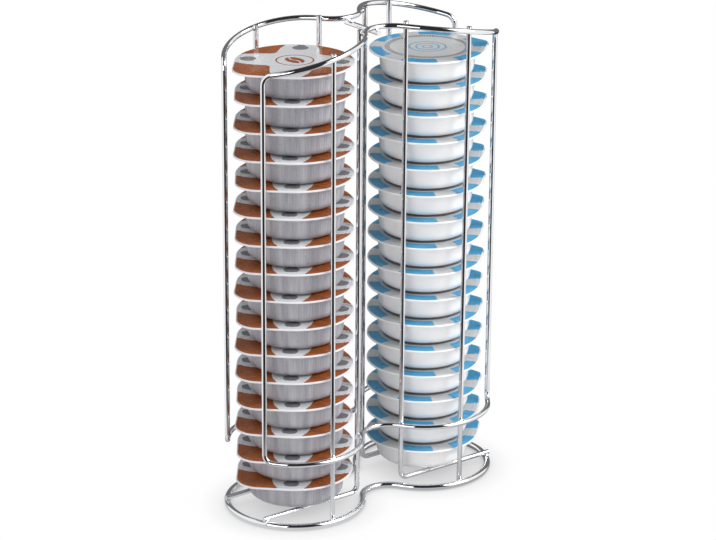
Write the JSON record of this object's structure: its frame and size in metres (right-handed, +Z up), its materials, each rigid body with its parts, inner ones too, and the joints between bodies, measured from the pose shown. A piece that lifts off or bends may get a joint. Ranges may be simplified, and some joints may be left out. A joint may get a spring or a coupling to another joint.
{
  "type": "coffee capsule holder",
  "caption": "Free-standing chromed wire tower with two open columns of stacked disc-shaped drink capsules, filled from above and emptied from below.",
  "frame": {"origin": "on the table under the middle of the waist, midway between the two column axes", "axes": "+Z up, +X from the left column to the right column, -Y to the front"},
  "size_m": [0.1918, 0.0898, 0.3084],
  "materials": {
    "chromed_wire": "polished",
    "left_capsule": "satin, slightly cloudy",
    "right_capsule": "gloss"
  },
  "bodies": {
    "frame": {"base_ring": "chromed_wire", "front_loop": "chromed_wire", "rear_loop": "chromed_wire", "top_tie": "chromed_wire", "front_left_post": "chromed_wire", "front_right_post": "chromed_wire", "rear_left_post": "chromed_wire", "rear_right_post": "chromed_wire", "front_left_rest_bar": "chromed_wire", "front_right_rest_bar": "chromed_wire", "rear_left_rest_bar": "chromed_wire", "rear_right_rest_bar": "chromed_wire"},
    "capsule_left_01": {"capsule_left_01": "left_capsule"},
    "capsule_left_02": {"capsule_left_02": "left_capsule"},
    "capsule_left_03": {"capsule_left_03": "left_capsule"},
    "capsule_left_04": {"capsule_left_04": "left_capsule"},
    "capsule_left_05": {"capsule_left_05": "left_capsule"},
    "capsule_left_06": {"capsule_left_06": "left_capsule"},
    "capsule_left_07": {"capsule_left_07": "left_capsule"},
    "capsule_left_08": {"capsule_left_08": "left_capsule"},
    "capsule_left_09": {"capsule_left_09": "left_capsule"},
    "capsule_left_10": {"capsule_left_10": "left_capsule"},
    "capsule_left_11": {"capsule_left_11": "left_capsule"},
    "capsule_left_12": {"capsule_left_12": "left_capsule"},
    "capsule_left_13": {"capsule_left_13": "left_capsule"},
    "capsule_left_14": {"capsule_left_14": "left_capsule"},
    "capsule_left_15": {"capsule_left_15": "left_capsule"},
    "capsule_left_16": {"capsule_left_16": "left_capsule"},
    "capsule_right_01": {"capsule_right_01": "right_capsule"},
    "capsule_right_02": {"capsule_right_02": "right_capsule"},
    "capsule_right_03": {"capsule_right_03": "right_capsule"},
    "capsule_right_04": {"capsule_right_04": "right_capsule"},
    "capsule_right_05": {"capsule_right_05": "right_capsule"},
    "capsule_right_06": {"capsule_right_06": "right_capsule"},
    "capsule_right_07": {"capsule_right_07": "right_capsule"},
    "capsule_right_08": {"capsule_right_08": "right_capsule"},
    "capsule_right_09": {"capsule_right_09": "right_capsule"},
    "capsule_right_10": {"capsule_right_10": "right_capsule"},
    "capsule_right_11": {"capsule_right_11": "right_capsule"},
    "capsule_right_12": {"capsule_right_12": "right_capsule"},
    "capsule_right_13": {"capsule_right_13": "right_capsule"},
    "capsule_right_14": {"capsule_right_14": "right_capsule"},
    "capsule_right_15": {"capsule_right_15": "right_capsule"},
    "capsule_right_16": {"capsule_right_16": "right_capsule"}
  },
  "joints": [
    {"name": "capsule_left_01_pull", "type": "slide", "parent": "frame", "child": "capsule_left_01", "axis": [-1, 0, 0], "range_m": [0, 0.09]},
    {"name": "capsule_left_02_lift", "type": "slide", "parent": "frame", "child": "capsule_left_02", "axis": [0, 0, 1], "range_m": [0, 0.29]},
    {"name": "capsule_left_03_lift", "type": "slide", "parent": "capsule_left_02", "child": "capsule_left_03", "axis": [0, 0, 1], "range_m": [0, 0.02]},
    {"name": "capsule_left_04_lift", "type": "slide", "parent": "capsule_left_03", "child": "capsule_left_04", "axis": [0, 0, 1], "range_m": [0, 0.02]},
    {"name": "capsule_left_05_lift", "type": "slide", "parent": "capsule_left_04", "child": "capsule_left_05", "axis": [0, 0, 1], "range_m": [0, 0.02]},
    {"name": "capsule_left_06_lift", "type": "slide", "parent": "capsule_left_05", "child": "capsule_left_06", "axis": [0, 0, 1], "range_m": [0, 0.02]},
    {"name": "capsule_left_07_lift", "type": "slide", "parent": "capsule_left_06", "child": "capsule_left_07", "axis": [0, 0, 1], "range_m": [0, 0.02]},
    {"name": "capsule_left_08_lift", "type": "slide", "parent": "capsule_left_07", "child": "capsule_left_08", "axis": [0, 0, 1], "range_m": [0, 0.02]},
    {"name": "capsule_left_09_lift", "type": "slide", "parent": "capsule_left_08", "child": "capsule_left_09", "axis": [0, 0, 1], "range_m": [0, 0.02]},
    {"name": "capsule_left_10_lift", "type": "slide", "parent": "capsule_left_09", "child": "capsule_left_10", "axis": [0, 0, 1], "range_m": [0, 0.02]},
    {"name": "capsule_left_11_lift", "type": "slide", "parent": "capsule_left_10", "child": "capsule_left_11", "axis": [0, 0, 1], "range_m": [0, 0.02]},
    {"name": "capsule_left_12_lift", "type": "slide", "parent": "capsule_left_11", "child": "capsule_left_12", "axis": [0, 0, 1], "range_m": [0, 0.02]},
    {"name": "capsule_left_13_lift", "type": "slide", "parent": "capsule_left_12", "child": "capsule_left_13", "axis": [0, 0, 1], "range_m": [0, 0.02]},
    {"name": "capsule_left_14_lift", "type": "slide", "parent": "capsule_left_13", "child": "capsule_left_14", "axis": [0, 0, 1], "range_m": [0, 0.02]},
    {"name": "capsule_left_15_lift", "type": "slide", "parent": "capsule_left_14", "child": "capsule_left_15", "axis": [0, 0, 1], "range_m": [0, 0.02]},
    {"name": "capsule_left_16_lift", "type": "slide", "parent": "capsule_left_15", "child": "capsule_left_16", "axis": [0, 0, 1], "range_m": [0, 0.04]},
    {"name": "capsule_right_01_pull", "type": "slide", "parent": "frame", "child": "capsule_right_01", "axis": [1, 0, 0], "range_m": [0, 0.09]},
    {"name": "capsule_right_02_lift", "type": "slide", "parent": "frame", "child": "capsule_right_02", "axis": [0, 0, 1], "range_m": [0, 0.29]},
    {"name": "capsule_right_03_lift", "type": "slide", "parent": "capsule_right_02", "child": "capsule_right_03", "axis": [0, 0, 1], "range_m": [0, 0.02]},
    {"name": "capsule_right_04_lift", "type": "slide", "parent": "capsule_right_03", "child": "capsule_right_04", "axis": [0, 0, 1], "range_m": [0, 0.02]},
    {"name": "capsule_right_05_lift", "type": "slide", "parent": "capsule_right_04", "child": "capsule_right_05", "axis": [0, 0, 1], "range_m": [0, 0.02]},
    {"name": "capsule_right_06_lift", "type": "slide", "parent": "capsule_right_05", "child": "capsule_right_06", "axis": [0, 0, 1], "range_m": [0, 0.02]},
    {"name": "capsule_right_07_lift", "type": "slide", "parent": "capsule_right_06", "child": "capsule_right_07", "axis": [0, 0, 1], "range_m": [0, 0.02]},
    {"name": "capsule_right_08_lift", "type": "slide", "parent": "capsule_right_07", "child": "capsule_right_08", "axis": [0, 0, 1], "range_m": [0, 0.02]},
    {"name": "capsule_right_09_lift", "type": "slide", "parent": "capsule_right_08", "child": "capsule_right_09", "axis": [0, 0, 1], "range_m": [0, 0.02]},
    {"name": "capsule_right_10_lift", "type": "slide", "parent": "capsule_right_09", "child": "capsule_right_10", "axis": [0, 0, 1], "range_m": [0, 0.02]},
    {"name": "capsule_right_11_lift", "type": "slide", "parent": "capsule_right_10", "child": "capsule_right_11", "axis": [0, 0, 1], "range_m": [0, 0.02]},
    {"name": "capsule_right_12_lift", "type": "slide", "parent": "capsule_right_11", "child": "capsule_right_12", "axis": [0, 0, 1], "range_m": [0, 0.02]},
    {"name": "capsule_right_13_lift", "type": "slide", "parent": "capsule_right_12", "child": "capsule_right_13", "axis": [0, 0, 1], "range_m": [0, 0.02]},
    {"name": "capsule_right_14_lift", "type": "slide", "parent": "capsule_right_13", "child": "capsule_right_14", "axis": [0, 0, 1], "range_m": [0, 0.02]},
    {"name": "capsule_right_15_lift", "type": "slide", "parent": "capsule_right_14", "child": "capsule_right_15", "axis": [0, 0, 1], "range_m": [0, 0.02]},
    {"name": "capsule_right_16_lift", "type": "slide", "parent": "capsule_right_15", "child": "capsule_right_16", "axis": [0, 0, 1], "range_m": [0, 0.04]}
  ]
}
